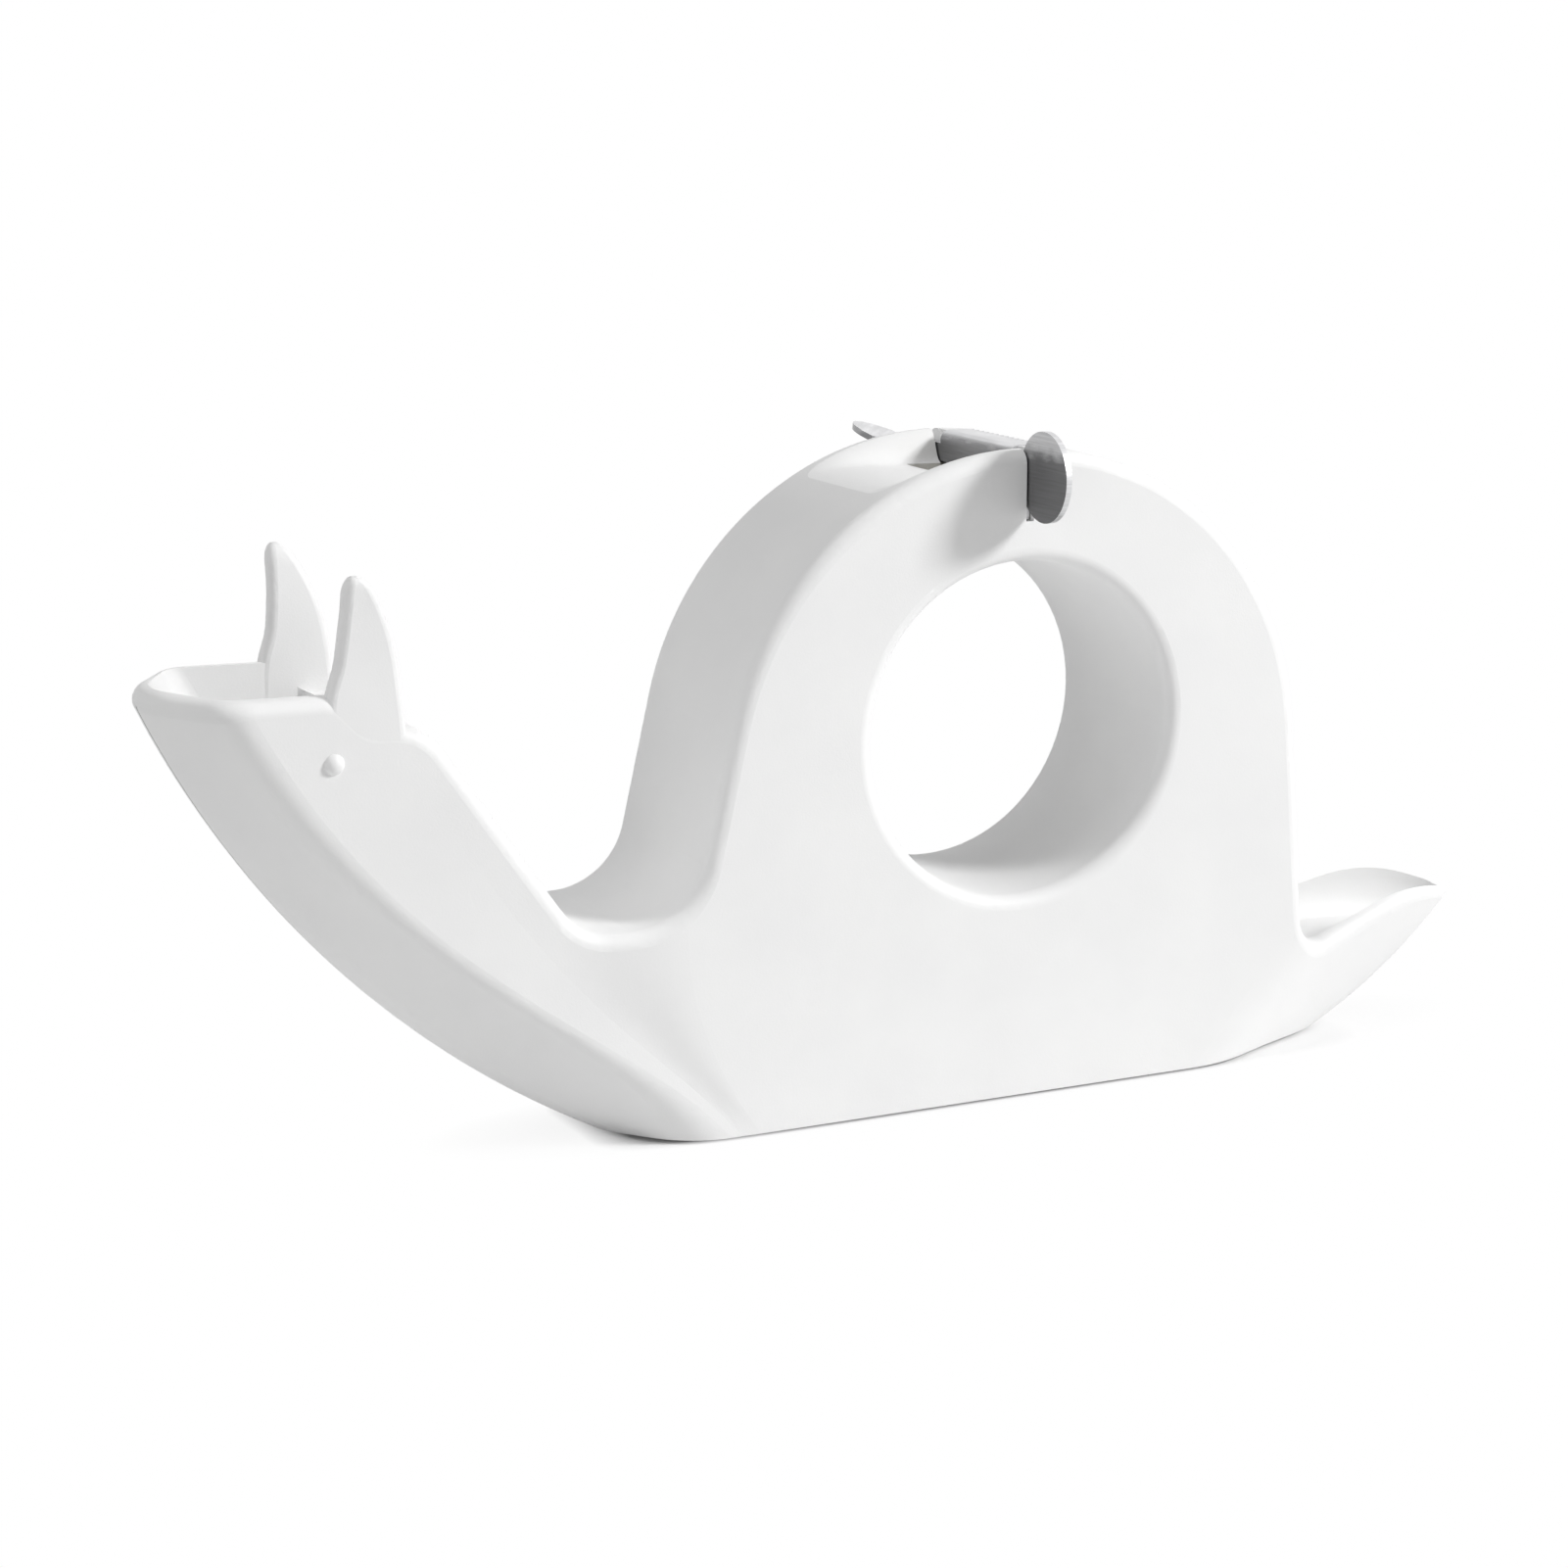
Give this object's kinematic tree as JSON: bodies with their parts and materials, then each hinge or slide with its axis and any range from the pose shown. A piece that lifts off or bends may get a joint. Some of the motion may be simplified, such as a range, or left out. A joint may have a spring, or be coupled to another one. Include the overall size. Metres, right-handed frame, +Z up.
{
  "type": "tape dispenser",
  "caption": "Snail-shaped desk tape dispenser: two moulded half shells round an eye-hole hub, a spool with tape, a steel cutter, a cup head with horns and a dished tail.",
  "frame": {"origin": "on the table under the axis of the eye, on the seam between the two half shells", "axes": "+Z up, +X from the head towards the tail, +Y across the body from the near half to the far half"},
  "size_m": [0.2885, 0.0711, 0.1343],
  "materials": {
    "body_plastic": "fine matte white moulding",
    "pad_rubber": "dark non-slip pad",
    "ballast_iron": "as cast",
    "screw_steel": "plain steel",
    "spool_plastic": "smooth light grey moulding",
    "core_board": null,
    "tape_film": "clear tape wound on itself",
    "washer_felt": "pressed felt",
    "cutter_steel": "stamped sheet, brushed"
  },
  "bodies": {
    "far_half": {"far_body_half": "body_plastic", "far_base_pad": "pad_rubber", "far_ballast": "ballast_iron", "far_ballast_screws": "screw_steel", "locating_pegs": "screw_steel", "drag_washer": "washer_felt"},
    "near_half": {"near_body_half": "body_plastic", "near_base_pad": "pad_rubber", "near_ballast": "ballast_iron", "near_ballast_screws": "screw_steel"},
    "spool": {"spool_ring": "spool_plastic", "tape_core": "core_board", "tape_roll": "tape_film"},
    "cutter": {"cutter_plate": "cutter_steel"}
  },
  "joints": [
    {"name": "near_half_slide", "type": "slide", "parent": "far_half", "child": "near_half", "axis": [0, -1, 0], "range_m": [0, 0.06]},
    {"name": "spool_spin", "type": "hinge", "parent": "far_half", "child": "spool", "pos_m": [0, 0, 0.075], "axis": [0, 1, 0], "continuous": true},
    {"name": "cutter_lift", "type": "slide", "parent": "far_half", "child": "cutter", "axis": [0, 0, 1], "range_m": [0, 0.03]}
  ]
}
